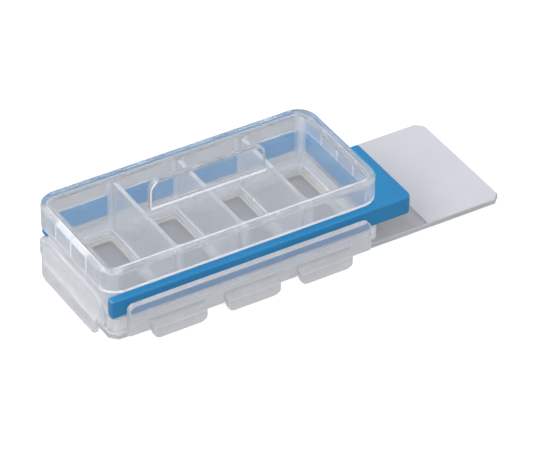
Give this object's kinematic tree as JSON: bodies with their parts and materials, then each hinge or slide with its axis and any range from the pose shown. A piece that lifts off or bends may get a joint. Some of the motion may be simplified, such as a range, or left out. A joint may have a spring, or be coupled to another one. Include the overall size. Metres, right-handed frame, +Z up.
{
  "type": "chamber slide",
  "caption": "Multi-well culture chamber on a microscope slide, with a lift-off finned lid, a slide-out blue lock frame, side clips with finger tabs, and a soft gasket.",
  "frame": {"origin": "centre of the glass slide's underside", "axes": "+X along the slide towards its frosted end, +Y towards the rear clip, +Z up out of the wells"},
  "size_m": [0.0766, 0.032, 0.0189],
  "materials": {
    "slide_glass": "polished, with one frosted end",
    "lid_plastic": "clear moulded polystyrene",
    "well_plastic": "clear, slightly milky moulded plastic",
    "gasket_silicone": "matte, warm off-white",
    "lock_plastic": "satin moulded blue",
    "clip_plastic": "milky translucent polypropylene"
  },
  "bodies": {
    "slide": {"glass_slide": "slide_glass"},
    "housing": {"well_housing": "well_plastic", "gasket": "gasket_silicone"},
    "lock": {"lock_frame": "lock_plastic"},
    "lid": {"lid": "lid_plastic"},
    "front_clip": {"front_clip": "clip_plastic"},
    "rear_clip": {"rear_clip": "clip_plastic"},
    "end_clip": {"end_clip": "clip_plastic"}
  },
  "joints": [
    {"name": "housing_lift", "type": "slide", "parent": "slide", "child": "housing", "axis": [0, 0, 1], "range_m": [0, 0.025]},
    {"name": "lock_pull", "type": "slide", "parent": "housing", "child": "lock", "axis": [1, 0, 0], "range_m": [0, 0.052]},
    {"name": "lid_lift", "type": "slide", "parent": "housing", "child": "lid", "axis": [0, 0, 1], "range_m": [0, 0.03]},
    {"name": "front_clip_flex", "type": "hinge", "parent": "housing", "child": "front_clip", "pos_m": [-0.0126, -0.01285, 0.0032], "axis": [1, 0, 0], "range_deg": [-4, 12], "stiffness_Nm_per_rad": 0.02},
    {"name": "rear_clip_flex", "type": "hinge", "parent": "housing", "child": "rear_clip", "pos_m": [-0.0096, 0.01285, 0.0032], "axis": [-1, 0, 0], "range_deg": [-4, 12], "stiffness_Nm_per_rad": 0.02},
    {"name": "end_clip_flex", "type": "hinge", "parent": "housing", "child": "end_clip", "pos_m": [-0.03755, -0.0008, 0.0032], "axis": [0, -1, 0], "range_deg": [-4, 8], "stiffness_Nm_per_rad": 0.02}
  ]
}
